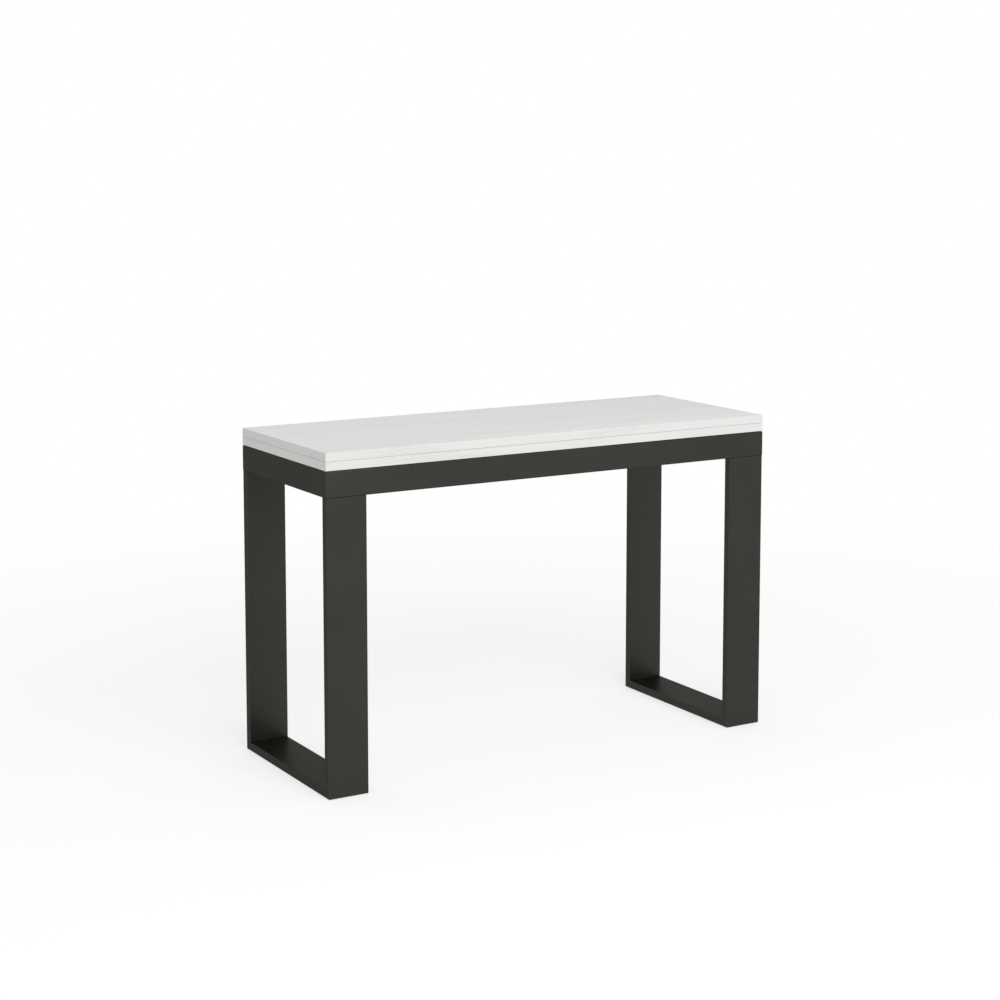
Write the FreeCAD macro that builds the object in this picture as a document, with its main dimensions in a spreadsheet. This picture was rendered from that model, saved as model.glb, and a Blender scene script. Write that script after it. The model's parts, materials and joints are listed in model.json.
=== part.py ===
import FreeCAD, Part
import math
import os
import re
import Sketcher

# Extending console table: a welded tube frame on two sled legs carries a double top.
# The lower leaf runs forward on rollers and the upper leaf folds back on flush link hinges.
# X runs along the table from left to right, Y from front to rear, Z up from the floor.

# Driving sizes in millimetres, each with what it measures.
SIZES = [
    ("table_length", 1200, "length of the top and of the frame"),
    ("table_depth", 450, "depth of the closed top and of the frame"),
    ("frame_height", 742, "floor to the top of the rails"),
    ("rail_height", 60, "height of the rail tubes"),
    ("leg_width", 100, "broad side of the leg and floor tubes"),
    ("tube_thickness", 20, "narrow side of every frame tube"),
    ("tube_wall", 2, "wall of every frame tube"),
    ("tube_radius", 2, "outer corner radius of every frame tube"),
    ("cross_height", 40, "height of the cross members"),
    ("cross_drop", 8, "cross members below the top of the rails"),
    ("cross_spacing", 600, "distance between the two cross members"),
    ("foot_thickness", 2, "head of the foot glides"),
    ("foot_diameter", 24, "head of the foot glides"),
    ("foot_stem_diameter", 8, "push-in stem of the foot glides"),
    ("foot_stem_length", 9, "push-in stem of the foot glides"),
    ("foot_inset", 50, "foot glide from the end of its floor bar"),
    ("leg_plate_thickness", 8, "tapped plate welded into the top of a leg"),
    ("bolt_diameter", 8, "leg bolt thread"),
    ("bolt_length", 14, "leg bolt below its head"),
    ("bolt_head_diameter", 13, "leg bolt head"),
    ("bolt_head_height", 8, "leg bolt head"),
    ("bolt_key_size", 6, "hexagon socket across its flats"),
    ("bolt_key_depth", 4, "hexagon socket depth"),
    ("bolt_inset", 40, "first leg bolt from the end of the table"),
    ("bolt_spacing", 40, "distance between the two bolts of a leg"),
    ("access_slack", 1.5, "access hole wider than the bolt head"),
    ("button_diameter", 12, "glide buttons on the rails"),
    ("button_rise", 0.7, "glide button head above the rail"),
    ("button_stem_diameter", 6, "glide button stem"),
    ("button_stem_length", 7, "glide button stem"),
    ("button_spacing", 400, "distance between glide buttons on a rail"),
    ("track_height", 29, "outer height of the channel tracks"),
    ("track_depth", 14, "outer depth of the channel tracks"),
    ("track_wall", 2, "wall of the channel tracks"),
    ("track_end_gap", 5, "channel tracks short of the long rails"),
    ("track_radius", 1.5, "outer bend radius of the channel tracks"),
    ("stop_length", 6, "end stop along the track"),
    ("stop_recess", 1, "end stop back from the mouth of the track"),
    ("rivet_diameter", 4.8, "track rivet shank"),
    ("rivet_head_diameter", 9, "track rivet head"),
    ("rivet_head_height", 1.3, "track rivet head"),
    ("rivet_bulb_diameter", 6.8, "set end of the track rivet"),
    ("rivet_bulb_length", 4, "set end of the track rivet"),
    ("rivet_spacing", 140, "distance between the rivets of a track"),
    ("bracket_thickness", 2.5, "sheet of the carriage angles"),
    ("bracket_foot", 30, "flange of the carriage angle under the leaf"),
    ("bracket_end_gap", 3, "carriage angles short of the end of their track"),
    ("bracket_radius", 3, "outer bend radius of the carriage angles"),
    ("bracket_corner", 5, "radius of the free corners of the carriage angles"),
    ("bracket_standoff", 1, "carriage angle from the mouth of the track"),
    ("bracket_margin", 14, "carriage angle below the roller axles"),
    ("roller_width", 7, "tread of the rollers"),
    ("roller_chamfer", 0.8, "edge of the roller tread"),
    ("roller_recess", 1.2, "dished face of the rollers"),
    ("roller_hub_radius", 5.5, "hub of the rollers"),
    ("roller_rim", 2.6, "rim of the rollers"),
    ("axle_diameter", 6, "roller axle"),
    ("axle_head_diameter", 10, "collar and heads of the roller axle"),
    ("axle_head_length", 1.2, "heads of the roller axle"),
    ("axle_collar_length", 1.5, "collar between the roller and its angle"),
    ("screw_diameter", 4, "carriage screw shank"),
    ("screw_length", 14, "carriage screw below its head"),
    ("screw_head_diameter", 8, "carriage screw head"),
    ("screw_head_height", 2.4, "carriage screw head"),
    ("screw_spacing", 60, "distance between carriage screws"),
    ("recess_width", 3.6, "cross recess of the small screws, tip to tip"),
    ("recess_slot", 1, "arms of the cross recess"),
    ("recess_depth", 1.2, "cross recess"),
    ("leaf_thickness", 20, "each leaf of the top"),
    ("leaf_rest_gap", 1, "lower leaf above the rails"),
    ("seam_gap", 0.5, "between the closed leaves"),
    ("joint_gap", 0.5, "between the opened leaves"),
    ("band_thickness", 1, "edge band round each leaf"),
    ("band_radius", 0.5, "rounded arrises and corners of the edge bands"),
    ("hinge_spacing", 450, "distance between hinges"),
    ("plate_width", 24, "hinge plate along the edge"),
    ("plate_length", 36, "hinge plate from the edge inwards"),
    ("plate_thickness", 3, "hinge plate"),
    ("pin_offset", 4, "hinge pins from the fold line, inwards and into the leaf"),
    ("pin_diameter", 4, "hinge pins"),
    ("pin_setback", 0.5, "hinge pin ends below the sides of the boss"),
    ("link_radius", 3.4, "round ends of the hinge links"),
    ("link_thickness", 6, "hinge links"),
    ("link_slack", 0.1, "hinge pin in its link"),
    ("boss_floor", 2, "hinge boss beyond its notch"),
    ("hinge_screw_diameter", 3.5, "hinge screw shank"),
    ("hinge_screw_head", 7, "hinge screw countersunk head"),
    ("hinge_screw_length", 15, "hinge screw"),
    ("hinge_screw_inset", 22, "hinge screws from the edge"),
    ("hinge_screw_spread", 12, "distance between the two screws of a plate"),
    ("running_gap", 0.3, "clearance between pieces that move on each other"),
    ("fit_gap", 0.1, "clearance round a pin, a stem or a let-in plate"),
    ("cut_overrun", 5, "cutting tools beyond the material"),
]

# Sizes that follow from the driving ones.
LAYOUT = [
    ("half_length", "table_length / 2"),
    ("half_depth", "table_depth / 2"),
    ("rail_bottom", "frame_height - rail_height"),
    ("leg_centre", "half_length - leg_width / 2"),
    ("leg_length", "rail_bottom - foot_thickness"),
    ("cross_length", "table_depth - 2 * tube_thickness"),
    ("track_centre", "frame_height - cross_drop - cross_height / 2"),
    ("track_face", "cross_spacing / 2 - tube_thickness / 2"),
    ("track_mouth", "track_face - track_depth"),
    ("track_inside", "track_height - 2 * track_wall"),
    ("bracket_face", "track_mouth - bracket_standoff"),
    ("roller_radius", "track_inside / 2 - running_gap"),
    ("roller_side", "bracket_face + axle_collar_length + running_gap"),
    ("carriage_centre", "table_depth / 4"),
    ("track_length", "cross_length - 2 * track_end_gap"),
    ("stop_face", "track_length / 2 - stop_length"),
    ("roller_reach", "stop_face - running_gap - roller_radius"),
    ("roller_spread", "2 * (roller_reach - carriage_centre)"),
    ("bracket_length", "track_length - 2 * carriage_centre - 2 * bracket_end_gap"),
    ("screw_line", "bracket_face - bracket_foot / 2"),
    ("leaf_bottom", "frame_height + leaf_rest_gap"),
    ("fold_height", "leaf_bottom + leaf_thickness + seam_gap / 2"),
    ("fold_depth", "half_depth + joint_gap / 2"),
    ("pin_depth", "fold_depth - pin_offset"),
    ("link_short", "2 * pin_offset"),
    ("link_long", "2 * sqrt(2) * pin_offset"),
    ("notch_reach", "link_long - pin_offset + link_radius + link_slack + running_gap"),
    ("boss_length", "notch_reach + boss_floor"),
    ("plate_tip", "half_depth - plate_length + plate_width / 2"),
]

# How many of each repeated piece stand in a row.
HINGE_COUNT = 3
BUTTON_COUNT = 3
RIVET_COUNT = 3
SCREW_COUNT = 3
BOLT_COUNT = 2
AXLE_COUNT = 2
PLATE_SCREW_COUNT = 2

# How a sketch names its own origin, and what it counts along a curve, in order.
SKETCH_ORIGIN = (-1, 1)
CURVE_POINTS = ("whole", "start", "end", "centre")

# How near two directions or places must be to count as the same.
TOLERANCE = 1e-6

UP = FreeCAD.Vector(0, 0, 1)
RIGHT = FreeCAD.Vector(1, 0, 0)
LEFT = -RIGHT
REAR = FreeCAD.Vector(0, 1, 0)
FRONT = -REAR

NAME = re.compile(r"[a-z]+(?:_[a-z]+)+")

doc = FreeCAD.newDocument("console_table")
home = {}
nodes = {}


def fill_sheet(sheet_name, rows):
    """Write one row per size: the value under its alias, and a note beside it."""
    sheet = doc.addObject("Spreadsheet::Sheet", sheet_name)
    for number, row in enumerate(rows, start=1):
        sheet.set(f"A{number}", row[0])
        sheet.set(f"B{number}", row[1])
        sheet.setAlias(f"B{number}", row[0])
        home[row[0]] = f"{sheet_name}."
        if len(row) > 2:
            sheet.set(f"C{number}", row[2])
    doc.recompute()


def cell(text):
    """Turn the plain names in an expression into references to the sheets."""
    return NAME.sub(lambda found: home.get(found.group(), "") + found.group(), text)


def value(sketch, text):
    """Work out an expression now, to draw a first shape near its final one."""
    return float(sketch.evalExpression(cell(text)))


def new_body(label, solids=1):
    """Start a node of the table, which ends up as so many separate solids."""
    body = doc.addObject("PartDesign::Body", label)
    body.Label = label
    nodes[body] = solids
    return body


def origin(body, role):
    """Find a plane or an axis of the body's own origin."""
    return next(item for item in body.Origin.OriginFeatures if item.Role == role)


def place(body, at, across, inwards, along):
    """Stand a body with its own axes along the given directions of the table."""
    body.Placement = FreeCAD.Placement(FreeCAD.Vector(), FreeCAD.Rotation(across, inwards, along, "XYZ"))
    for axis, text in zip("xyz", at):
        body.setExpression(f"Placement.Base.{axis}", cell(text))


def sketch_on(body, plane, at=("0", "0", "0")):
    """Add a sketch on an origin plane, with its own origin over the given point."""
    x, y, z = at
    offsets = {"XY": (x, y, z), "XZ": (x, z, f"-({y})"), "YZ": (y, z, x)}[plane]
    sketch = body.newObject("Sketcher::SketchObject", "Sketch")
    sketch.AttachmentSupport = [(origin(body, f"{plane}_Plane"), "")]
    sketch.MapMode = "FlatFace"
    for axis, text in zip("xyz", offsets):
        sketch.setExpression(f"AttachmentOffset.Base.{axis}", cell(text))
    sketch.Visibility = False
    return sketch


def bind(sketch, constraint, text):
    """Add a constraint whose value follows an expression."""
    number = sketch.addConstraint(constraint)
    sketch.setExpression(f"Constraints[{number}]", cell(text))


def hold(sketch, direction, curve, spot, text):
    """Fix the start, end or centre of a curve at a distance from the sketch's origin."""
    number = CURVE_POINTS.index(spot)
    bind(sketch, Sketcher.Constraint(direction, *SKETCH_ORIGIN, curve, number, value(sketch, text)), text)


def pin(sketch, curve, spot, x, y):
    """Fix the start, end or centre of a curve at a place given by two expressions."""
    hold(sketch, "DistanceX", curve, spot, x)
    hold(sketch, "DistanceY", curve, spot, y)


def meet(sketch, kind, curves):
    """Join the end of each curve to the start of the next."""
    for first, second in curves:
        ends = (first, CURVE_POINTS.index("end"), second, CURVE_POINTS.index("start"))
        sketch.addConstraint(Sketcher.Constraint(kind, *ends))


def point(sketch, x, y):
    """Give the point at two expressions."""
    return FreeCAD.Vector(value(sketch, x), value(sketch, y), 0)


def outline(sketch, corners):
    """Draw a closed outline through corners given as pairs of expressions."""
    points = [point(sketch, x, y) for x, y in corners]
    lines = []
    for first, second in zip(points, points[1:] + points[:1]):
        lines.append(sketch.addGeometry(Part.LineSegment(first, second)))
    meet(sketch, "Coincident", zip(lines, lines[1:] + lines[:1]))
    for side, (x, y) in zip(lines, corners):
        pin(sketch, side, "start", x, y)


def box_outline(sketch, left, right, low, high):
    """Draw a rectangle between two columns and two rows."""
    outline(sketch, [(left, low), (right, low), (right, high), (left, high)])


def disc(sketch, x, y, radius):
    """Draw a circle."""
    size = value(sketch, radius)
    circle = sketch.addGeometry(Part.Circle(point(sketch, x, y), UP, size))
    pin(sketch, circle, "centre", x, y)
    bind(sketch, Sketcher.Constraint("Radius", circle, size), radius)


def arc(sketch, x, y, radius, start, end):
    """Draw part of a circle with a fixed centre and radius."""
    size = value(sketch, radius)
    whole = Part.Circle(point(sketch, x, y), UP, size)
    curve = sketch.addGeometry(Part.ArcOfCircle(whole, start, end))
    pin(sketch, curve, "centre", x, y)
    bind(sketch, Sketcher.Constraint("Radius", curve, size), radius)
    return curve


def line(sketch, x1, y1, x2, y2):
    """Draw a line whose ends are fixed later by what it meets."""
    return sketch.addGeometry(Part.LineSegment(point(sketch, x1, y1), point(sketch, x2, y2)))


def stadium(sketch, x, low, high, radius):
    """Draw an upright slot with round ends centred at low and high."""
    bottom = arc(sketch, x, low, radius, math.pi, 2 * math.pi)
    side = line(sketch, f"{x} + {radius}", low, f"{x} + {radius}", high)
    whole = Part.Circle(point(sketch, x, high), UP, value(sketch, radius))
    top = sketch.addGeometry(Part.ArcOfCircle(whole, 0, math.pi))
    pin(sketch, top, "centre", x, high)
    back = line(sketch, f"{x} - ({radius})", high, f"{x} - ({radius})", low)
    meet(sketch, "Tangent", [(bottom, side), (side, top), (top, back), (back, bottom)])


def tongue(sketch, x, tip, edge, radius):
    """Draw a strip with a round tip that starts at the edge of the leaf."""
    nose = arc(sketch, x, tip, radius, math.pi, 2 * math.pi)
    right = line(sketch, f"{x} + {radius}", tip, f"{x} + {radius}", edge)
    top = line(sketch, f"{x} + {radius}", edge, f"{x} - ({radius})", edge)
    left = line(sketch, f"{x} - ({radius})", edge, f"{x} - ({radius})", tip)
    meet(sketch, "Tangent", [(nose, right), (left, nose)])
    meet(sketch, "Coincident", [(right, top), (top, left)])
    sketch.addConstraint(Sketcher.Constraint("Horizontal", top))
    hold(sketch, "DistanceY", top, "start", edge)


def hexagon(sketch, width):
    """Draw a hexagon of the given width across its flats, round the sketch's origin."""
    point_out = f"{width} / sqrt(3)"
    flat = f"{width} / 2"
    half = f"{width} / sqrt(12)"
    outline(sketch, [
        (point_out, "0"), (half, flat), (f"-{half}", flat),
        (f"-{point_out}", "0"), (f"-{half}", f"-{flat}"), (half, f"-{flat}"),
    ])


def cross(sketch):
    """Draw the cross recess of a small screw round the sketch's origin."""
    tip = "recess_width / 2"
    arm = "recess_slot / 2"
    quarter = [(tip, f"-{arm}"), (tip, arm), (arm, arm)]
    corners = []
    for turns in range(4):
        corners += quarter
        quarter = [(f"-({y})", x) for x, y in quarter]
    outline(sketch, corners)


def settle(body, feature, removes=False):
    """Recompute the last step and make sure that it did what it should."""
    body.Tip = feature
    doc.recompute()
    before = feature.BaseFeature.Shape.Volume if feature.BaseFeature else 0
    if "Invalid" in feature.State or feature.Shape.isNull():
        raise RuntimeError(f"{body.Label}: {feature.Name} failed")
    if removes != (feature.Shape.Volume < before):
        raise RuntimeError(f"{body.Label}: {feature.Name} works the wrong way")


def pad(body, sketch, length, both_ways=False, backwards=False):
    """Extrude a sketch."""
    feature = body.newObject("PartDesign::Pad", "Pad")
    feature.Profile = sketch
    feature.setExpression("Length", cell(length))
    feature.SideType = "Symmetric" if both_ways else "One side"
    feature.Reversed = backwards
    settle(body, feature)


def cut(body, sketch, length=None, both_ways=False, backwards=False):
    """Cut a sketch to a depth, or right through when no depth is given."""
    feature = body.newObject("PartDesign::Pocket", "Pocket")
    feature.Profile = sketch
    feature.SideType = "Symmetric" if both_ways else "One side"
    feature.Reversed = backwards
    if length is None:
        feature.Type = "ThroughAll"
    else:
        feature.setExpression("Length", cell(length))
    settle(body, feature, removes=True)


def turn(body, sketch, axis="V_Axis"):
    """Turn a half profile round an axis of its sketch."""
    feature = body.newObject("PartDesign::Revolution", "Revolution")
    feature.Profile = sketch
    feature.ReferenceAxis = (sketch, [axis])
    settle(body, feature)


def groove(body, sketch, axis="V_Axis"):
    """Cut away a half profile turned round an axis of its sketch."""
    feature = body.newObject("PartDesign::Groove", "Groove")
    feature.Profile = sketch
    feature.ReferenceAxis = (sketch, [axis])
    settle(body, feature, removes=True)


def row(body, axis, length, count):
    """Repeat the whole body in a row of the given overall length."""
    feature = body.newObject("PartDesign::LinearPattern", "LinearPattern")
    feature.TransformMode = "Whole shape"
    feature.Direction = (origin(body, f"{axis}_Axis"), [""])
    feature.setExpression("Length", cell(length))
    feature.Occurrences = count
    settle(body, feature)


def mirror(body, *planes):
    """Repeat the whole body on the other side of each plane in turn."""
    for plane in planes:
        feature = body.newObject("PartDesign::Mirrored", "Mirrored")
        feature.TransformMode = "Whole shape"
        feature.MirrorPlane = (origin(body, f"{plane}_Plane"), [""])
        settle(body, feature)


def repeat_cuts(body, names, axis, length, count):
    """Repeat the last cuts of a body in a row."""
    feature = body.newObject("PartDesign::LinearPattern", "LinearPattern")
    feature.Originals = names
    feature.Direction = (origin(body, f"{axis}_Axis"), [""])
    feature.setExpression("Length", cell(length))
    feature.Occurrences = count
    settle(body, feature, removes=True)


def round_edges(body, radius, wanted):
    """Round the edges that a test picks out."""
    base = body.Tip
    names = [f"Edge{number}" for number, edge in enumerate(base.Shape.Edges, start=1) if wanted(edge)]
    feature = body.newObject("PartDesign::Fillet", "Fillet")
    feature.Base = (base, names)
    feature.setExpression("Radius", cell(radius))
    settle(body, feature, removes=True)


def runs_along(edge, direction):
    """Tell whether an edge is straight and lies along a direction."""
    span = edge.lastVertex().Point - edge.firstVertex().Point
    return edge.Curve.TypeId == "Part::GeomLine" and span.cross(direction).Length < TOLERANCE * edge.Length


def lies_on(edge, axis, place_on_axis):
    """Tell whether the middle of an edge lies on a plane square to an axis."""
    return math.isclose(getattr(edge.CenterOfMass, axis), place_on_axis, abs_tol=TOLERANCE)


def frame_tube(label, width, length, mitres):
    """Make a frame tube: width across, narrow side inwards from its outer face, length along.

    A mitred end is cut so that the outer face is the longer one.
    """
    body = new_body(label)
    sketch = sketch_on(body, "XY")
    box_outline(sketch, f"-{width} / 2", f"{width} / 2", "0", "tube_thickness")
    pad(body, sketch, length)
    round_edges(body, "tube_radius", lambda edge: runs_along(edge, UP))
    sketch = sketch_on(body, "XY")
    side = f"({width} / 2 - tube_wall)"
    box_outline(sketch, f"-{side}", side, "tube_wall", "tube_thickness - tube_wall")
    cut(body, sketch, both_ways=True)
    far = "tube_thickness + cut_overrun"
    if "start" in mitres:
        sketch = sketch_on(body, "YZ")
        outline(sketch, [("-cut_overrun", "-cut_overrun"), (far, "-cut_overrun"), (far, far)])
        cut(body, sketch, both_ways=True)
    if "end" in mitres:
        sketch = sketch_on(body, "YZ", ("0", "0", length))
        outline(sketch, [("-cut_overrun", "cut_overrun"), (far, f"-({far})"), (far, "cut_overrun")])
        cut(body, sketch, both_ways=True)
    return body


def drill_long_rail(body):
    """Drill a long rail for the leg bolts below, and above for the key and the glide buttons."""
    places = ["bolt_inset", "bolt_inset + bolt_spacing"]
    places += [f"table_length - ({spot})" for spot in places]
    middle = "tube_thickness / 2"
    sketch = sketch_on(body, "YZ")
    for spot in places:
        disc(sketch, middle, spot, "bolt_diameter / 2 + fit_gap")
    cut(body, sketch)
    sketch = sketch_on(body, "YZ")
    for spot in places:
        disc(sketch, middle, spot, "bolt_head_diameter / 2 + access_slack / 2")
    for spot in ("half_length - button_spacing", "half_length", "half_length + button_spacing"):
        disc(sketch, middle, spot, "button_stem_diameter / 2 + fit_gap")
    cut(body, sketch, backwards=True)


def make_rails():
    """Make the mitred ring of rails under the top."""
    middle = "frame_height - rail_height / 2"
    ring = ("start", "end")
    front = frame_tube("front_rail", "rail_height", "table_length", ring)
    drill_long_rail(front)
    place(front, ("half_length", "-half_depth", middle), UP, REAR, LEFT)
    rear = frame_tube("rear_rail", "rail_height", "table_length", ring)
    drill_long_rail(rear)
    place(rear, ("-half_length", "half_depth", middle), UP, FRONT, RIGHT)
    left = frame_tube("left_end_rail", "rail_height", "table_depth", ring)
    place(left, ("-half_length", "-half_depth", middle), UP, RIGHT, REAR)
    right = frame_tube("right_end_rail", "rail_height", "table_depth", ring)
    place(right, ("half_length", "half_depth", middle), UP, LEFT, FRONT)


def make_cross_member(label, at, inwards, along):
    """Make a cross member, drilled on its inner side for the track rivets."""
    body = frame_tube(label, "cross_height", "cross_length", ())
    sketch = sketch_on(body, "XZ", ("0", "tube_thickness / 2", "0"))
    for spot in ("cross_length / 2 - rivet_spacing", "cross_length / 2", "cross_length / 2 + rivet_spacing"):
        disc(sketch, "0", spot, "rivet_diameter / 2 + fit_gap")
    cut(body, sketch, "tube_thickness")
    place(body, at, UP, inwards, along)


def make_cross_members():
    """Make the two cross members that carry the tracks."""
    outside = "track_face + tube_thickness"
    rail_inside = "half_depth - tube_thickness"
    left = (f"-({outside})", f"-({rail_inside})", "track_centre")
    make_cross_member("left_cross_member", left, RIGHT, REAR)
    right = (outside, rail_inside, "track_centre")
    make_cross_member("right_cross_member", right, LEFT, FRONT)


def make_sled(side, centre):
    """Make one sled: a front leg, a rear leg and the floor bar between them."""
    leg = frame_tube(f"front_{side}_leg", "leg_width", "leg_length", ("start",))
    place(leg, (centre, "-half_depth", "foot_thickness"), RIGHT, REAR, UP)
    leg = frame_tube(f"rear_{side}_leg", "leg_width", "leg_length", ("start",))
    place(leg, (centre, "half_depth", "foot_thickness"), LEFT, FRONT, UP)
    bar = frame_tube(f"{side}_floor_bar", "leg_width", "table_depth", ("start", "end"))
    sketch = sketch_on(bar, "XZ")
    disc(sketch, "0", "foot_inset", "foot_stem_diameter / 2 + fit_gap")
    disc(sketch, "0", "table_depth - foot_inset", "foot_stem_diameter / 2 + fit_gap")
    cut(bar, sketch, "tube_thickness / 2")
    place(bar, (centre, "-half_depth", "foot_thickness"), LEFT, UP, REAR)


def make_leg_plates():
    """Make the tapped plates that are welded flush into the tops of the legs."""
    body = new_body("leg_top_plates", solids=4)
    sketch = sketch_on(body, "XY", ("-half_length", "-half_depth", "rail_bottom"))
    rim = "tube_wall + fit_gap"
    box_outline(sketch, rim, f"leg_width - ({rim})", rim, f"tube_thickness - ({rim})")
    for spot in ("bolt_inset", "bolt_inset + bolt_spacing"):
        disc(sketch, spot, "tube_thickness / 2", "bolt_diameter / 2 + fit_gap")
    pad(body, sketch, "leg_plate_thickness", backwards=True)
    mirror(body, "YZ", "XZ")


def make_leg_bolts():
    """Make the socket screws that go down through the long rails into the legs."""
    body = new_body("leg_bolts", solids=8)
    seat = ("bolt_inset - half_length", "tube_thickness / 2 - half_depth", "rail_bottom + tube_wall")
    sketch = sketch_on(body, "XZ", seat)
    shank = "bolt_diameter / 2"
    head = "bolt_head_diameter / 2"
    outline(sketch, [
        ("0", "-bolt_length"), (shank, "-bolt_length"), (shank, "0"),
        (head, "0"), (head, "bolt_head_height"), ("0", "bolt_head_height"),
    ])
    turn(body, sketch)
    sketch = sketch_on(body, "XY", (seat[0], seat[1], f"{seat[2]} + bolt_head_height"))
    hexagon(sketch, "bolt_key_size")
    cut(body, sketch, "bolt_key_depth")
    row(body, "X", "bolt_spacing", BOLT_COUNT)
    mirror(body, "YZ", "XZ")


def make_foot_glides():
    """Make the push-in glides under the floor bars."""
    body = new_body("foot_glides", solids=4)
    sketch = sketch_on(body, "XZ", ("-leg_centre", "foot_inset - half_depth", "0"))
    head = "foot_diameter / 2"
    stem = "foot_stem_diameter / 2"
    top = "foot_thickness + foot_stem_length"
    bevel = "foot_thickness / 2"
    outline(sketch, [
        ("0", "0"), (f"{head} - {bevel}", "0"), (head, bevel), (head, "foot_thickness"),
        (stem, "foot_thickness"), (stem, f"{top} - foot_thickness"), (f"{stem} - {bevel}", top), ("0", top),
    ])
    turn(body, sketch)
    mirror(body, "YZ", "XZ")


def make_rail_buttons():
    """Make the glide buttons on which the opened leaves rest."""
    body = new_body("rail_buttons", solids=6)
    sketch = sketch_on(body, "XZ", ("-button_spacing", "tube_thickness / 2 - half_depth", "frame_height"))
    head = "button_diameter / 2"
    stem = "button_stem_diameter / 2"
    outline(sketch, [
        ("0", "-button_stem_length"), (stem, "-button_stem_length"), (stem, "0"), (head, "0"),
        (f"{head} - button_rise", "button_rise"), ("0", "button_rise"),
    ])
    turn(body, sketch)
    row(body, "X", "2 * button_spacing", BUTTON_COUNT)
    mirror(body, "XZ")


def make_track(label, side):
    """Make a channel track, open towards the middle of the table."""
    body = new_body(label)
    sketch = sketch_on(body, "XZ", ("0", "0", "track_centre"))
    back = f"{side} * track_face"
    web = f"{side} * (track_face - track_wall)"
    mouth = f"{side} * track_mouth"
    outer = "track_height / 2"
    inner = "track_inside / 2"
    outline(sketch, [
        (back, f"-{outer}"), (mouth, f"-{outer}"), (mouth, f"-{inner}"), (web, f"-{inner}"),
        (web, inner), (mouth, inner), (mouth, outer), (back, outer),
    ])
    pad(body, sketch, "track_length", both_ways=True)
    face = side * value(sketch, "track_face")
    round_edges(body, "track_radius", lambda edge: runs_along(edge, REAR) and lies_on(edge, "x", face))
    sketch = sketch_on(body, "YZ", ("0", "0", "track_centre"))
    for spot in ("-rivet_spacing", "0", "rivet_spacing"):
        disc(sketch, spot, "0", "rivet_diameter / 2 + fit_gap")
    cut(body, sketch, both_ways=True)


def make_rivets():
    """Make the blind rivets that hold the tracks to the cross members."""
    body = new_body("track_rivets", solids=6)
    sketch = sketch_on(body, "XZ", ("-track_face", "-rivet_spacing", "track_centre"))
    bulb = "rivet_bulb_diameter / 2"
    shank = "rivet_diameter / 2"
    head = "rivet_head_diameter / 2"
    tail = "-tube_wall - rivet_bulb_length"
    crown = "track_wall + rivet_head_height"
    outline(sketch, [
        (tail, "0"), (tail, bulb), ("-tube_wall", bulb), ("-tube_wall", shank), ("track_wall", shank),
        ("track_wall", head), (f"{crown} - rivet_head_height / 2", head), (crown, shank), (crown, "0"),
    ])
    turn(body, sketch, "H_Axis")
    row(body, "Y", "2 * rivet_spacing", RIVET_COUNT)
    mirror(body, "YZ")


def make_track_stops():
    """Make the plugs that stop the front and rear rollers at the ends of the tracks."""
    body = new_body("track_stops", solids=4)
    sketch = sketch_on(body, "XZ", ("0", "stop_face", "track_centre"))
    half = "track_inside / 2"
    box_outline(sketch, "track_mouth + stop_recess", "track_face - track_wall", f"-{half}", half)
    pad(body, sketch, "stop_length", backwards=True)
    mirror(body, "YZ", "XZ")


def make_bracket(label, side):
    """Make a carriage angle: one flange under the lower leaf, the other beside its track."""
    body = new_body(label)
    sketch = sketch_on(body, "XZ", ("0", "carriage_centre", "0"))
    face = f"{side} * bracket_face"
    inside = f"{side} * (bracket_face - bracket_thickness)"
    toe = f"{side} * (bracket_face - bracket_foot)"
    low = "track_centre - bracket_margin"
    top = "leaf_bottom"
    under = f"{top} - bracket_thickness"
    outline(sketch, [(face, low), (inside, low), (inside, under), (toe, under), (toe, top), (face, top)])
    pad(body, sketch, "bracket_length", both_ways=True)
    bend = FreeCAD.Vector(*[value(sketch, text) for text in (face, "carriage_centre", top)])
    round_edges(body, "bracket_radius", lambda edge: edge.CenterOfMass.isEqual(bend, TOLERANCE))
    sheet = value(sketch, "bracket_thickness")
    round_edges(body, "bracket_corner", lambda edge: math.isclose(edge.Length, sheet, abs_tol=TOLERANCE))
    sketch = sketch_on(body, "YZ", ("0", "carriage_centre", "track_centre"))
    for spot in ("-roller_spread / 2", "roller_spread / 2"):
        disc(sketch, spot, "0", "axle_diameter / 2 + fit_gap")
    cut(body, sketch, both_ways=True)
    sketch = sketch_on(body, "XY", (f"{side} * screw_line", "carriage_centre", "leaf_bottom"))
    for spot in ("-screw_spacing", "0", "screw_spacing"):
        disc(sketch, "0", spot, "screw_diameter / 2 + fit_gap")
    cut(body, sketch)


def make_axles():
    """Make the shouldered axles riveted into the carriage angles."""
    body = new_body("roller_axles", solids=4)
    sketch = sketch_on(body, "XZ", ("-bracket_face", "carriage_centre - roller_spread / 2", "track_centre"))
    shank = "axle_diameter / 2"
    head = "axle_head_diameter / 2"
    collar = "-axle_collar_length"
    tread = f"{collar} - roller_width - 2 * running_gap"
    tip = f"{tread} - axle_head_length"
    sheet = "bracket_thickness"
    rivet = f"{sheet} + axle_head_length"
    outline(sketch, [
        (tip, "0"), (tip, head), (tread, head), (tread, shank), (collar, shank), (collar, head), ("0", head),
        ("0", shank), (sheet, shank), (sheet, head), (rivet, shank), (rivet, "0"),
    ])
    turn(body, sketch, "H_Axis")
    row(body, "Y", "roller_spread", AXLE_COUNT)
    mirror(body, "YZ")


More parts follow.
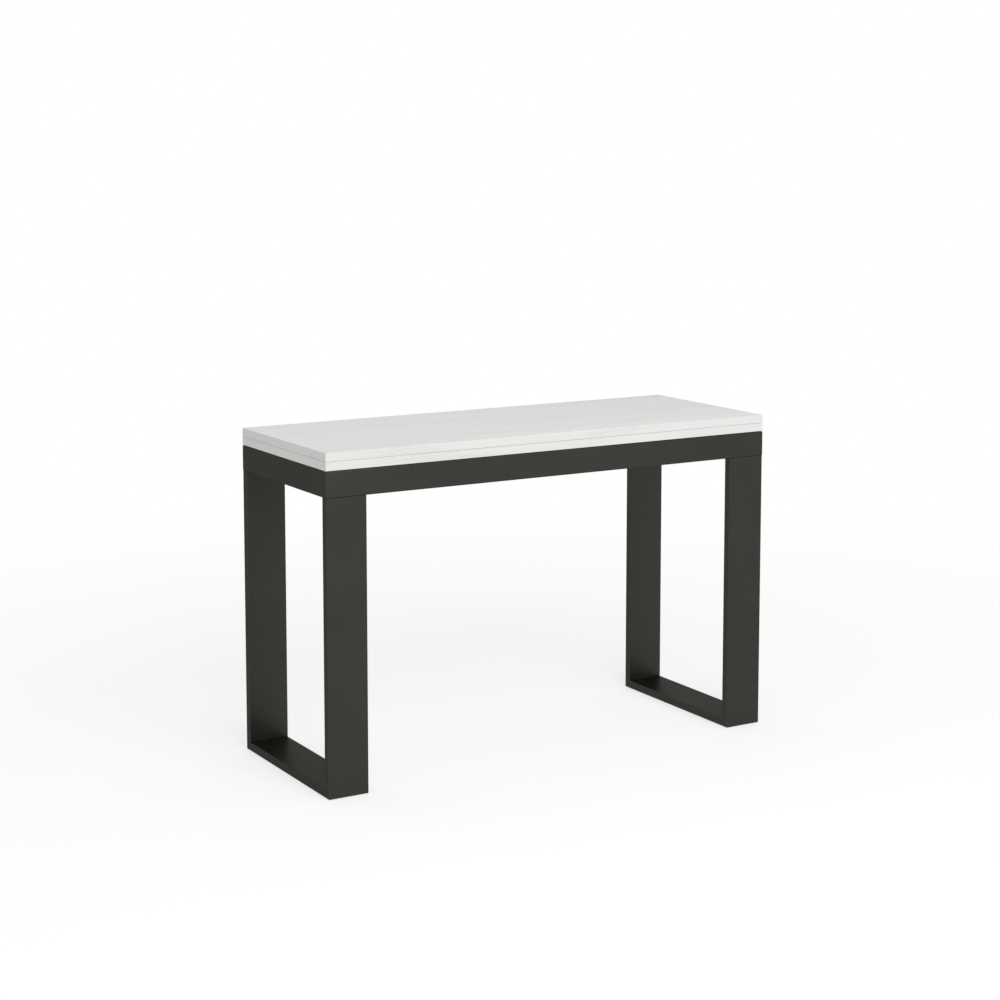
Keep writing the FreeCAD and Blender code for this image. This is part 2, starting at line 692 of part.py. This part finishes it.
def make_roller(label, side, end):
    """Make a dished roller that runs between the flanges of its track."""
    body = new_body(label)
    across = f"{side} * (roller_side + roller_width / 2)"
    along = f"carriage_centre + {end} * roller_spread / 2"
    sketch = sketch_on(body, "XZ", (across, along, "track_centre"))
    half = "roller_width / 2"
    tread = "roller_radius"
    rim = "roller_radius - roller_rim"
    bore = "axle_diameter / 2 + fit_gap"
    dish = f"{half} - roller_recess"
    shoulder = f"{half} - roller_chamfer"
    right_side = [
        (half, bore), (half, "roller_hub_radius"), (dish, "roller_hub_radius"), (dish, rim), (half, rim),
        (half, f"{tread} - roller_chamfer"), (shoulder, tread),
    ]
    left_side = [(f"-({x})", y) for x, y in reversed(right_side)]
    outline(sketch, right_side + left_side)
    turn(body, sketch, "H_Axis")


def make_carriage_screws():
    """Make the pan head screws that hold the carriage angles to the lower leaf."""
    body = new_body("carriage_screws", solids=6)
    spot = ("-screw_line", "carriage_centre - screw_spacing")
    seat = "leaf_bottom - bracket_thickness"
    sketch = sketch_on(body, "XZ", spot + (seat,))
    shank = "screw_diameter / 2"
    head = "screw_head_diameter / 2"
    crown = "-screw_head_height"
    outline(sketch, [
        ("0", crown), (shank, crown), (head, f"{crown} / 2"), (head, "0"),
        (shank, "0"), (shank, "screw_length - screw_diameter"), ("0", "screw_length"),
    ])
    turn(body, sketch)
    sketch = sketch_on(body, "XY", spot + (f"{seat} - screw_head_height",))
    cross(sketch)
    cut(body, sketch, "recess_depth", backwards=True)
    row(body, "Y", "2 * screw_spacing", SCREW_COUNT)
    mirror(body, "YZ")


def make_board(name, way, low):
    """Make the board of a leaf, with its hinge plates let in on the side of the seam."""
    body = new_body(f"{name}_board")
    across = "half_length - band_thickness"
    deep = "half_depth - band_thickness"
    sketch = sketch_on(body, "XY", ("0", "0", low))
    box_outline(sketch, f"-({across})", across, f"-({deep})", deep)
    pad(body, sketch, "leaf_thickness")
    seam = f"fold_height + {way} * seam_gap / 2"
    upwards = way > 0
    sketch = sketch_on(body, "XY", ("-hinge_spacing", "0", seam))
    tongue(sketch, "0", "plate_tip", "fold_depth + cut_overrun", "plate_width / 2 + fit_gap")
    cut(body, sketch, "plate_thickness", backwards=upwards)
    cuts = [body.Tip]
    sketch = sketch_on(body, "XY", ("-hinge_spacing", "0", seam))
    half = "plate_width / 2 + fit_gap"
    box_outline(sketch, f"-({half})", half, "half_depth - boss_length - fit_gap", "half_depth + cut_overrun")
    cut(body, sketch, "boss_length + fit_gap", backwards=upwards)
    cuts.append(body.Tip)
    sketch = sketch_on(body, "XY", ("-hinge_spacing", "0", seam))
    for spot in ("-hinge_screw_spread / 2", "hinge_screw_spread / 2"):
        disc(sketch, spot, "half_depth - hinge_screw_inset", "hinge_screw_diameter / 2 + fit_gap")
    cut(body, sketch, "hinge_screw_length + fit_gap", backwards=upwards)
    cuts.append(body.Tip)
    repeat_cuts(body, cuts, "X", "2 * hinge_spacing", HINGE_COUNT)
    return body


def drill_for_carriages(body):
    """Drill the underside of the lower board for the carriage screws."""
    sketch = sketch_on(body, "XY", ("0", "carriage_centre", "leaf_bottom"))
    for side in ("-screw_line", "screw_line"):
        for spot in ("-screw_spacing", "0", "screw_spacing"):
            disc(sketch, side, spot, "screw_diameter / 2 + fit_gap")
    cut(body, sketch, "screw_length", backwards=True)


def make_band(label, low, left, right, front, rear, hidden):
    """Make one edge band, rounded on every edge that lies on none of its hidden faces."""
    body = new_body(label)
    sketch = sketch_on(body, "XY", ("0", "0", low))
    box_outline(sketch, left, right, front, rear)
    pad(body, sketch, "leaf_thickness")
    planes = [(axis, value(sketch, text)) for axis, text in hidden]
    round_edges(body, "band_radius", lambda edge: not any(lies_on(edge, *plane) for plane in planes))
    return body


def make_bands(name, way, low):
    """Make the four edge bands of a leaf: the long ones cover the ends of the short ones."""
    left = "-half_length"
    right = "half_length"
    front = "-half_depth"
    back = "half_depth"
    end = f"{right} - band_thickness"
    deep = f"{back} - band_thickness"
    ends = [("y", f"-({deep})"), ("y", deep)]
    make_band(f"{name}_front_band", low, left, right, front, f"-({deep})", ends)
    make_band(f"{name}_left_band", low, left, f"-({end})", f"-({deep})", deep, ends + [("x", f"-({end})")])
    make_band(f"{name}_right_band", low, end, right, f"-({deep})", deep, ends + [("x", end)])
    rear = make_band(f"{name}_rear_band", low, left, right, deep, back, ends)
    sketch = sketch_on(rear, "XZ", ("-hinge_spacing", "half_depth", f"fold_height + {way} * seam_gap / 2"))
    half = "plate_width / 2 + fit_gap"
    box_outline(sketch, f"-({half})", half, f"{way} * (boss_length + fit_gap)", f"{-way} * cut_overrun")
    cut(rear, sketch, both_ways=True)
    repeat_cuts(rear, [rear.Tip], "X", "2 * hinge_spacing", HINGE_COUNT)


def make_hinge_plates(name, way):
    """Make the hinge castings of a leaf: a flush plate, and a boss notched for the link."""
    body = new_body(f"{name}_hinge_plates", solids=HINGE_COUNT)
    upwards = way > 0
    at = ("-hinge_spacing", "0", f"fold_height + {way} * seam_gap / 2")
    sketch = sketch_on(body, "XY", at)
    tongue(sketch, "0", "plate_tip", "half_depth", "plate_width / 2")
    pad(body, sketch, "plate_thickness", backwards=not upwards)
    sketch = sketch_on(body, "XY", at)
    box_outline(sketch, "-plate_width / 2", "plate_width / 2", "half_depth - boss_length", "half_depth")
    pad(body, sketch, "boss_length", backwards=not upwards)
    sketch = sketch_on(body, "XY", ("-hinge_spacing", "0", "fold_height"))
    slot = "link_thickness / 2 + running_gap"
    box_outline(sketch, f"-({slot})", slot, "fold_depth - notch_reach", "fold_depth + cut_overrun")
    cut(body, sketch, "notch_reach", backwards=upwards)
    sketch = sketch_on(body, "YZ", ("0", "pin_depth", f"fold_height + {way} * pin_offset"))
    disc(sketch, "0", "0", "pin_diameter / 2 + fit_gap / 2")
    cut(body, sketch, both_ways=True)
    for side in ("-", ""):
        spot = f"{side}hinge_screw_spread / 2 - hinge_spacing"
        sketch = sketch_on(body, "XZ", (spot, "half_depth - hinge_screw_inset", at[2]))
        screw_profile(sketch, way, "plate_thickness + cut_overrun", "fit_gap", "cut_overrun")
        groove(body, sketch)
    row(body, "X", "2 * hinge_spacing", HINGE_COUNT)


def screw_profile(sketch, way, length, slack, above):
    """Draw half of a countersunk screw, or of its hole with some slack, pointing into the leaf."""
    shank = f"(hinge_screw_diameter / 2 + {slack})"
    head = f"(hinge_screw_head / 2 + {slack})"
    cone = "(hinge_screw_head / 2 - hinge_screw_diameter / 2)"
    corners = [("0", f"-({above})"), (head, "0"), (shank, cone), (shank, length), ("0", length)]
    if above != "0":
        corners.insert(1, (head, f"-({above})"))
    outline(sketch, [(x, f"{way} * ({y})") for x, y in corners])


def make_hinge_screws(name, way):
    """Make the countersunk screws of a leaf's hinge plates."""
    body = new_body(f"{name}_hinge_screws", solids=HINGE_COUNT * PLATE_SCREW_COUNT)
    seam = f"fold_height + {way} * seam_gap / 2"
    at = ("-hinge_spacing - hinge_screw_spread / 2", "half_depth - hinge_screw_inset", seam)
    sketch = sketch_on(body, "XZ", at)
    screw_profile(sketch, way, "hinge_screw_length", "0", "0")
    turn(body, sketch)
    sketch = sketch_on(body, "XY", at)
    cross(sketch)
    cut(body, sketch, "recess_depth", backwards=way > 0)
    row(body, "X", "hinge_screw_spread", PLATE_SCREW_COUNT)
    row(body, "X", "2 * hinge_spacing", HINGE_COUNT)


def make_hinge_pins(name, way):
    """Make the pins pressed into the hinge bosses of a leaf."""
    body = new_body(f"{name}_hinge_pins", solids=HINGE_COUNT)
    sketch = sketch_on(body, "YZ", ("-hinge_spacing", "pin_depth", f"fold_height + {way} * pin_offset"))
    disc(sketch, "0", "0", "pin_diameter / 2")
    pad(body, sketch, "plate_width - 2 * pin_setback", both_ways=True)
    row(body, "X", "2 * hinge_spacing", HINGE_COUNT)


def make_leaf(name, way, low):
    """Make one leaf of the top with its half of the hinges."""
    board = make_board(name, way, low)
    make_bands(name, way, low)
    make_hinge_plates(name, way)
    make_hinge_screws(name, way)
    make_hinge_pins(name, way)
    return board


def make_hinge_links():
    """Make the links that turn on the lower pins and slide on the upper ones.

    Seen from the lower pin the upper pin always lies at half the fold angle, but moves away
    and back again as the leaf swings over, so each link has a round hole and a short slot.
    """
    body = new_body("hinge_links", solids=HINGE_COUNT)
    sketch = sketch_on(body, "YZ", ("-hinge_spacing", "pin_depth", "fold_height - pin_offset"))
    stadium(sketch, "0", "0", "link_long", "link_radius + link_slack")
    disc(sketch, "0", "0", "pin_diameter / 2 + link_slack")
    stadium(sketch, "0", "link_short", "link_long", "pin_diameter / 2 + link_slack")
    pad(body, sketch, "link_thickness", both_ways=True)
    row(body, "X", "2 * hinge_spacing", HINGE_COUNT)


def check_and_write():
    """Stop on any failed step, then write each node to its own file."""
    doc.recompute()
    for item in doc.Objects:
        if "Invalid" in item.State or "Error" in item.State:
            raise RuntimeError(f"{item.Label} did not compute")
    os.makedirs("parts", exist_ok=True)
    for body, solids in nodes.items():
        shape = body.Shape
        if shape.isNull() or not shape.isValid() or len(shape.Solids) != solids:
            raise RuntimeError(f"{body.Label}: {len(shape.Solids)} solids where {solids} should be")
        shape.exportStep(f"parts/{body.Label}.step")


fill_sheet("Sizes", [(alias, str(size), note) for alias, size, note in SIZES])
fill_sheet("Layout", [(alias, "=" + cell(text).replace("Layout.", "")) for alias, text in LAYOUT])

make_rails()
make_cross_members()
make_sled("left", "-leg_centre")
make_sled("right", "leg_centre")
make_leg_plates()
make_leg_bolts()
make_foot_glides()
make_rail_buttons()
for side_name, side_sign in (("left", -1), ("right", 1)):
    make_track(f"{side_name}_track", side_sign)
    make_bracket(f"{side_name}_carriage_angle", side_sign)
    make_roller(f"front_{side_name}_roller", side_sign, -1)
    make_roller(f"rear_{side_name}_roller", side_sign, 1)
make_rivets()
make_track_stops()
make_axles()
make_carriage_screws()
drill_for_carriages(make_leaf("lower", -1, "leaf_bottom"))
make_leaf("upper", 1, "fold_height + seam_gap / 2")
make_hinge_links()
check_and_write()
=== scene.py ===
import json
import math
from collections import namedtuple

import bpy
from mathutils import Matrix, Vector


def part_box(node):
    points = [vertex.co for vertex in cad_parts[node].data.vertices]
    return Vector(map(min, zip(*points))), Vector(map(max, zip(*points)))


# Looks of the extending console table: a white ash double top on an anthracite tube frame.
# Lengths are in metres, in the frame of the solids: X along the table, Y to the rear, Z up.

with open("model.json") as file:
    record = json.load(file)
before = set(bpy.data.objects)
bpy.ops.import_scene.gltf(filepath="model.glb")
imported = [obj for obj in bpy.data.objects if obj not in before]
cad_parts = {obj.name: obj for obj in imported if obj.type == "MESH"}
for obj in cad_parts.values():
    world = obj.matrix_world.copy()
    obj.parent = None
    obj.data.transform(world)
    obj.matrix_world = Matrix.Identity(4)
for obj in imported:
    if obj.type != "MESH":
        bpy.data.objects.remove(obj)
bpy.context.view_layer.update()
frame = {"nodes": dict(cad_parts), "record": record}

WHITE = (1, 1, 1, 1)

# The camera stands off the front left corner and looks a little down.
CAMERA_PLACE = Vector((-2.5556, -4.2731, 1.4915))
CAMERA_YAW = math.radians(30.65)
CAMERA_PITCH = math.radians(6.406)
CAMERA_LENS = 74.64
SENSOR_WIDTH = 36.0
CAMERA_SHIFT = -0.14

# A white room lights the table from all round, and one large soft lamp from the front.
ROOM_STRENGTH = 0.735
LAMP_DIRECTION = Vector((-0.10, -0.83, 0.55)).normalized()
LAMP_DISTANCE = 4.5
LAMP_SIZE = 3.0
LAMP_ENERGY = 104.0
LAMP_TARGET = Vector((0, 0, 0.5))

# The floor shows nearly white and keeps a share of the table's shadow, which fades out between two radii.
FLOOR_SIZE = 40.0
FLOOR_COLOUR = (0.70, 0.70, 0.70, 1)
FLOOR_SHOWN = (0.98, 0.98, 0.98, 1)
SHADOW_SHARE = 0.35
SHADOW_FADE = (1.2, 3.0)
ALONG_FLOOR = (1, 1, 0)

# A noise has its scale along each axis, in waves a metre, its detail and roughness, and its distortion.
Noise = namedtuple("Noise", "scale detail roughness distortion", defaults=(2.0, 0.5, 0.0))

# A relief has the strength of its bump and its depth.
Relief = namedtuple("Relief", "strength depth")

# Nearly all of a noise lies in this span.
NOISE_SPAN = (0.3, 0.7)

# White ash decor: its colours from dark to light, and its roughness from the wood to the floor of a pore.
ASH_COLOURS = ((0.600, 0.596, 0.580), (0.700, 0.697, 0.683), (0.755, 0.752, 0.741))
ASH_ROUGHNESS = (0.54, 0.70)
ASH_SHEEN = 0.15
ASH_RELIEF = Relief(strength=0.35, depth=0.0002)

# The grain runs along the first axis of these noises, and is turned on the end bands to run along them.
END_BAND_TURN = math.pi / 2
ASH_CLOUD = Noise((0.7, 9, 9), detail=3)
RING_DRIFT = Noise((0.5, 3.2, 3.2), distortion=0.3)
ASH_FIBRE = Noise((5, 260, 260), detail=6, roughness=0.66)
PORE_DASHES = Noise((24, 850, 850), roughness=0.6)
PORE_SPECKS = Noise((70, 2400, 2400), detail=1)

# The year rings are a wave across the grain, in radians a metre, that the drift bends, in radians.
RING_WAVE = 620.0
RING_BEND = 70.0

# A pore opens as its noise passes through its edge. Pores crowd together where the ring wave is high.
DASH_EDGE = (0.58, 0.66)
SPECK_EDGE = (0.60, 0.68)
SPECK_DEPTHS = (0.0, 0.7)
CROWD_WAVE = (-0.3, 0.8)
CROWD_SHARES = (0.2, 1.0)

# The tone of the ash, from 0 to 1, starts at the first value and each layer adds its weight.
ASH_TONE = 0.34
CLOUD_WEIGHT = 0.36
RING_WEIGHT = -0.05
FIBRE_WEIGHT = 0.34
FIBRE_SPREAD = (-0.5, 0.5)
PORE_WEIGHT = -0.40

# Pressed wood chips show where a board is cut into, between its printed faces.
FACE_THICKNESS = 0.0004
CHIP_COLOURS = ((0.16, 0.10, 0.055), (0.42, 0.29, 0.17), (0.60, 0.46, 0.30))
CHIP_ROUGHNESS = 0.85
CHIPS = Noise((330, 330, 620), detail=3, roughness=0.7)

# Satin anthracite powder coat: a dark coat with metal flake and a fine orange peel.
PAINT_COLOURS = ((0.0335, 0.0325, 0.0281), (0.0493, 0.0478, 0.0419), (0.0650, 0.0630, 0.0557))
PAINT_ROUGHNESS = (0.39, 0.45)
PAINT_METAL = 0.95
PAINT_EDGE_TINT = (0.482, 0.482, 0.482, 1)
PAINT_RELIEF = Relief(strength=0.16, depth=0.0002)
PAINT_CLOUD = Noise((9, 9, 9), detail=3)
PAINT_FLAKE = Noise((2600, 2600, 2600), roughness=0.6)
PAINT_PEEL = Noise((700, 700, 700), detail=3)
FLAKE_SHARE = 0.6
FLAKE_HEIGHT = 0.4

# Plated steel: colours and roughness from dark to light, with faint lines where it was drawn or brushed.
ZINC_COLOURS = ((0.52, 0.55, 0.58), (0.68, 0.69, 0.69))
ZINC_ROUGHNESS = (0.42, 0.26)
ZINC_LINES = Noise((300, 60, 300), detail=3, roughness=0.6)
NICKEL_COLOURS = ((0.56, 0.53, 0.48), (0.70, 0.67, 0.62))
NICKEL_ROUGHNESS = (0.36, 0.24)
NICKEL_LINES = Noise((1500, 40, 1500), detail=3, roughness=0.6)
PLATE_CLOUD = Noise((60, 60, 60), detail=3, distortion=0.4)
PLATE_RELIEF = Relief(strength=0.08, depth=0.0001)
LINE_SHARE = 0.5

# Moulded nylon: faintly cloudy, with a fine grained skin.
WHITE_NYLON_COLOURS = ((0.74, 0.74, 0.71), (0.82, 0.82, 0.80))
BLACK_NYLON_COLOURS = ((0.013, 0.013, 0.014), (0.024, 0.024, 0.025))
NYLON_ROUGHNESS = (0.42, 0.56)
NYLON_RELIEF = Relief(strength=0.10, depth=0.0001)
NYLON_CLOUD = Noise((90, 90, 90), detail=3, distortion=0.5)
NYLON_SKIN = Noise((1800, 1800, 1800))


class Graph:
    """The shader nodes of a material or of the world, with short calls that add and join them."""

    def __init__(self, owner):
        self.owner = owner
        owner.use_nodes = True
        self.tree = owner.node_tree

    def put(self, node, inputs):
        """Set inputs of a node to constants, or link other nodes' outputs to them."""
        for key, value in inputs.items():
            if isinstance(value, bpy.types.NodeSocket):
                self.tree.links.new(value, node.inputs[key])
            else:
                node.inputs[key].default_value = value

    def add(self, kind, inputs, **settings):
        """Add a node with its settings, and set or link its inputs."""
        node = self.tree.nodes.new("ShaderNode" + kind)
        for name, setting in settings.items():
            setattr(node, name, setting)
        self.put(node, inputs)
        return node

    def place(self, scale=(1, 1, 1), turn=0.0):
        """Give the piece's own coordinates, turned about Z and then scaled along each axis."""
        own = self.add("TexCoord", {}).outputs["Object"]
        turned = self.add("Mapping", {"Vector": own, "Rotation": (0, 0, turn)}).outputs["Vector"]
        return self.add("Mapping", {"Vector": turned, "Scale": scale}).outputs["Vector"]

    def along(self, axis, turn=0.0):
        """Give the piece's own coordinate along one axis, after the turn about Z."""
        return self.add("SeparateXYZ", {"Vector": self.place(turn=turn)}).outputs[axis]

    def noise(self, pattern, turn=0.0):
        """Give a smooth noise from 0 to 1."""
        inputs = {
            "Vector": self.place(pattern.scale, turn),
            "Scale": 1.0,
            "Detail": pattern.detail,
            "Roughness": pattern.roughness,
            "Distortion": pattern.distortion,
        }
        return self.add("TexNoise", inputs).outputs["Fac"]

    def calculate(self, operation, *values):
        """Work out one step of arithmetic."""
        return self.add("Math", dict(enumerate(values)), operation=operation).outputs["Value"]

    def layer(self, base, value, weight):
        """Add a value to a base, times its weight."""
        return self.calculate("MULTIPLY_ADD", value, weight, base)

    def spread(self, value, span, onto=(0, 1)):
        """Map a value from one span onto another, with its ends held."""
        inputs = {
            "Value": value,
            "From Min": span[0],
            "From Max": span[1],
            "To Min": onto[0],
            "To Max": onto[1],
        }
        return self.add("MapRange", inputs).outputs["Result"]

    def ramp(self, value, colours):
        """Turn a value from 0 to 1 into a colour between evenly spaced ones."""
        node = self.add("ValToRGB", {"Fac": value})
        elements = node.color_ramp.elements
        last = len(colours) - 1
        for number in range(1, last):
            elements.new(number / last)
        for number, colour in enumerate(colours):
            elements[number].position = number / last
            elements[number].color = (*colour, 1)
        return node.outputs["Color"]

    def mix(self, share, first, second):
        """Mix two colours, with the given share of the second."""
        node = self.add("Mix", {"Factor": share, "A": first, "B": second}, data_type="RGBA")
        return node.outputs["Result"]

    def bump(self, height, relief):
        """Give a normal that follows a height."""
        inputs = {"Height": height, "Strength": relief.strength, "Distance": relief.depth}
        return self.add("Bump", inputs).outputs["Normal"]

    def surface(self, inputs):
        """Set or link inputs of the material's own shader, and give the material."""
        self.put(self.tree.nodes["Principled BSDF"], inputs)
        return self.owner

    def show(self, share, first, second):
        """Show two shaders mixed, with the given share of the second."""
        mixed = self.add("MixShader", {"Fac": share, 1: first, 2: second})
        self.put(self.tree.get_output_node("ALL"), {"Surface": mixed.outputs["Shader"]})


def new_material(name):
    """Start a material and give its nodes."""
    return Graph(bpy.data.materials.new(name))


def ash_tone(graph, turn):
    """Give the tone of white ash and the depth of its pores, with the grain along X before the turn."""
    drift = graph.noise(RING_DRIFT, turn)
    straight = graph.calculate("MULTIPLY", graph.along("Y", turn), RING_WAVE)
    rings = graph.calculate("SINE", graph.layer(straight, drift, RING_BEND))
    dashes = graph.spread(graph.noise(PORE_DASHES, turn), DASH_EDGE)
    specks = graph.spread(graph.noise(PORE_SPECKS, turn), SPECK_EDGE, SPECK_DEPTHS)
    crowd = graph.spread(rings, CROWD_WAVE, CROWD_SHARES)
    pores = graph.calculate("MULTIPLY", graph.calculate("MAXIMUM", dashes, specks), crowd)
    cloud = graph.spread(graph.noise(ASH_CLOUD, turn), NOISE_SPAN)
    fibre = graph.spread(graph.noise(ASH_FIBRE, turn), NOISE_SPAN, FIBRE_SPREAD)
    tone = graph.layer(ASH_TONE, cloud, CLOUD_WEIGHT)
    tone = graph.layer(tone, rings, RING_WEIGHT)
    tone = graph.layer(tone, fibre, FIBRE_WEIGHT)
    tone = graph.layer(tone, pores, PORE_WEIGHT)
    return tone, pores


def show_core(graph, low, high, colour, rough):
    """Put pressed chips in place of the decor between the faces of a board, at these heights."""
    off_middle = graph.calculate("ABSOLUTE", graph.calculate("SUBTRACT", graph.along("Z"), (low + high) / 2))
    inside = graph.calculate("LESS_THAN", off_middle, (high - low) / 2 - FACE_THICKNESS)
    chips = graph.ramp(graph.noise(CHIPS), CHIP_COLOURS)
    rough_inside = graph.calculate("MULTIPLY", inside, CHIP_ROUGHNESS)
    return graph.mix(inside, colour, chips), graph.calculate("MAXIMUM", rough, rough_inside)


def white_ash(name, turn=0.0, faces=None):
    """Make embossed white ash decor, on a pressed core where the heights of a board's faces are given."""
    graph = new_material(name)
    tone, pores = ash_tone(graph, turn)
    colour = graph.ramp(tone, ASH_COLOURS)
    rough = graph.spread(pores, (0, 1), ASH_ROUGHNESS)
    if faces:
        colour, rough = show_core(graph, *faces, colour, rough)
    height = graph.calculate("MULTIPLY", pores, -1.0)
    return graph.surface({
        "Base Color": colour,
        "Roughness": rough,
        "Normal": graph.bump(height, ASH_RELIEF),
        "Specular IOR Level": ASH_SHEEN,
    })


def powder_coat(name):
    """Make satin anthracite powder coat. Its edge tint keeps the sheen even at flat angles."""
    graph = new_material(name)
    cloud = graph.noise(PAINT_CLOUD)
    flake = graph.noise(PAINT_FLAKE)
    shade = graph.calculate("MULTIPLY", cloud, 1 - FLAKE_SHARE)
    tone = graph.layer(shade, graph.spread(flake, NOISE_SPAN), FLAKE_SHARE)
    height = graph.layer(graph.noise(PAINT_PEEL), flake, FLAKE_HEIGHT)
    return graph.surface({
        "Base Color": graph.ramp(tone, PAINT_COLOURS),
        "Roughness": graph.spread(cloud, NOISE_SPAN, PAINT_ROUGHNESS),
        "Normal": graph.bump(height, PAINT_RELIEF),
        "Metallic": PAINT_METAL,
        "Specular IOR Level": 0.0,
        "Specular Tint": PAINT_EDGE_TINT,
    })


def plated_steel(name, colours, roughness, line_noise):
    """Make plated steel with faint lines."""
    graph = new_material(name)
    lines = graph.noise(line_noise)
    shade = graph.calculate("MULTIPLY", graph.noise(PLATE_CLOUD), 1 - LINE_SHARE)
    tone = graph.layer(shade, lines, LINE_SHARE)
    return graph.surface({
        "Base Color": graph.ramp(graph.spread(tone, NOISE_SPAN), colours),
        "Roughness": graph.spread(tone, NOISE_SPAN, roughness),
        "Normal": graph.bump(lines, PLATE_RELIEF),
        "Metallic": 1.0,
    })


def moulded_nylon(name, colours):
    """Make moulded nylon."""
    graph = new_material(name)
    cloud = graph.spread(graph.noise(NYLON_CLOUD), NOISE_SPAN)
    skin = graph.noise(NYLON_SKIN)
    return graph.surface({
        "Base Color": graph.ramp(cloud, colours),
        "Roughness": graph.spread(skin, NOISE_SPAN, NYLON_ROUGHNESS),
        "Normal": graph.bump(skin, NYLON_RELIEF),
    })


def slot_materials():
    """Make the finish of each material slot, apart from the boards' own."""
    return {
        "white_ash_edge_band": white_ash("white_ash_long_band"),
        "anthracite_powder_coat": powder_coat("anthracite_powder_coat"),
        "zinc_plated_steel": plated_steel("zinc_plated_steel", ZINC_COLOURS, ZINC_ROUGHNESS, ZINC_LINES),
        "satin_nickel": plated_steel("satin_nickel", NICKEL_COLOURS, NICKEL_ROUGHNESS, NICKEL_LINES),
        "white_nylon": moulded_nylon("white_nylon", WHITE_NYLON_COLOURS),
        "black_nylon": moulded_nylon("black_nylon", BLACK_NYLON_COLOURS),
    }


def leaf_materials():
    """Make the finishes of nodes that need their own: the end bands' turned grain and the boards' cores."""
    end_band = white_ash("white_ash_end_band", turn=END_BAND_TURN)
    materials = {}
    for leaf in ("lower", "upper"):
        board = f"{leaf}_board"
        low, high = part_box(board)
        materials[board] = white_ash(f"white_ash_{board}", faces=(low.z, high.z))
        materials[f"{leaf}_left_band"] = end_band
        materials[f"{leaf}_right_band"] = end_band
    return materials


def dress():
    """Give each solid its finish."""
    by_node = leaf_materials()
    by_slot = slot_materials()
    for part in frame["record"]["subparts"]:
        name = part["node"]
        slots = frame["nodes"][name].data.materials
        slots.clear()
        slots.append(by_node.get(name) or by_slot[part["material_slot"]])


def background_rays(graph):
    """Give 1 on rays that show the background: from the camera, off gloss and through glass."""
    path = graph.add("LightPath", {}).outputs
    indirect = graph.calculate("MAXIMUM", path["Is Glossy Ray"], path["Is Transmission Ray"])
    return graph.calculate("MAXIMUM", path["Is Camera Ray"], indirect)


def make_room():
    """Light the table evenly from all round, and show plain white behind it."""
    world = bpy.data.worlds.new("white_room")
    bpy.context.scene.world = world
    graph = Graph(world)
    room = graph.tree.nodes["Background"]
    graph.put(room, {"Color": WHITE, "Strength": ROOM_STRENGTH})
    shown = graph.add("Background", {"Color": WHITE, "Strength": 1.0})
    graph.show(background_rays(graph), room.outputs["Background"], shown.outputs["Background"])


def make_floor():
    """Lay a pale matt floor that fades into the white behind it and keeps a soft shadow."""
    bpy.ops.mesh.primitive_plane_add(size=FLOOR_SIZE)
    floor = bpy.context.object
    floor.name = "floor"
    graph = new_material("pale_floor")
    seen = background_rays(graph)
    colour = graph.mix(seen, FLOOR_COLOUR, FLOOR_SHOWN)
    floor.data.materials.append(graph.owner)
    graph.surface({"Base Color": colour, "Roughness": 1.0, "Specular IOR Level": 0.0})
    radius = graph.add("VectorMath", {0: graph.place(ALONG_FLOOR)}, operation="LENGTH").outputs["Value"]
    plain = graph.spread(radius, SHADOW_FADE, (1 - SHADOW_SHARE, 1))
    matt = graph.tree.nodes["Principled BSDF"].outputs["BSDF"]
    glow = graph.add("Emission", {"Color": WHITE, "Strength": 1.0}).outputs["Emission"]
    graph.show(graph.calculate("MULTIPLY", seen, plain), matt, glow)


def aim(data, place, direction):
    """Put a lamp or a camera into the scene at a place, looking in a direction."""
    thing = bpy.data.objects.new(data.name, data)
    thing.location = place
    thing.rotation_euler = direction.to_track_quat("-Z", "Y").to_euler()
    bpy.context.scene.collection.objects.link(thing)
    return thing


def make_lamp():
    """Hang one large soft lamp in front of the table."""
    data = bpy.data.lights.new("front_lamp", "AREA")
    data.size = LAMP_SIZE
    data.energy = LAMP_ENERGY
    aim(data, LAMP_TARGET + LAMP_DIRECTION * LAMP_DISTANCE, -LAMP_DIRECTION)


def make_camera():
    """Set the camera at the photograph's viewing angle."""
    data = bpy.data.cameras.new("camera")
    data.sensor_width = SENSOR_WIDTH
    data.lens = CAMERA_LENS
    data.shift_y = CAMERA_SHIFT
    level = math.cos(CAMERA_PITCH)
    ahead = Vector((math.sin(CAMERA_YAW) * level, math.cos(CAMERA_YAW) * level, -math.sin(CAMERA_PITCH)))
    bpy.context.scene.camera = aim(data, CAMERA_PLACE, ahead)


dress()
make_room()
make_floor()
make_lamp()
make_camera()
bpy.context.scene.view_settings.view_transform = "Standard"
